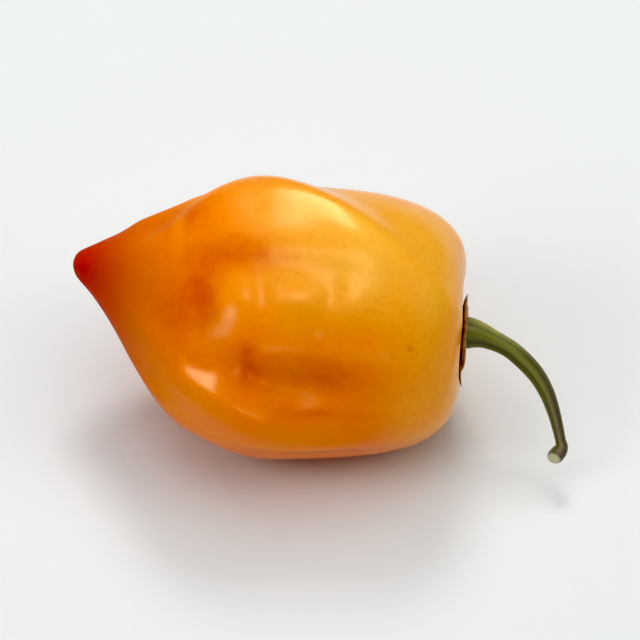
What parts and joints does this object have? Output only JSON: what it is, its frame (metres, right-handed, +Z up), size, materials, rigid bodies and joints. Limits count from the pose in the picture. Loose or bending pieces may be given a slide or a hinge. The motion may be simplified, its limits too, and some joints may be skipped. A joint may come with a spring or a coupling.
{
  "type": "chilli pepper",
  "caption": "Orange habanero chilli lying on its side: lobed, dented lantern-shaped fruit with a pointed tip, a dry toothed calyx and a bent green stem.",
  "frame": {"origin": "on the flat spot that the fruit lies on, under its widest section", "axes": "+Z up, +X from the tip towards the stem end, -Y towards the side that is seen from the front"},
  "size_m": [0.0614, 0.0355, 0.0346],
  "materials": {
    "skin": "waxy glossy skin, orange with yellower shoulders and a redder tip",
    "calyx": "dry papery brown with a tan rim",
    "stem": "satin green, ribbed, browner towards the cut end"
  },
  "bodies": {
    "root": {"fruit": "skin", "calyx": "calyx", "stem": "stem"}
  },
  "joints": []
}
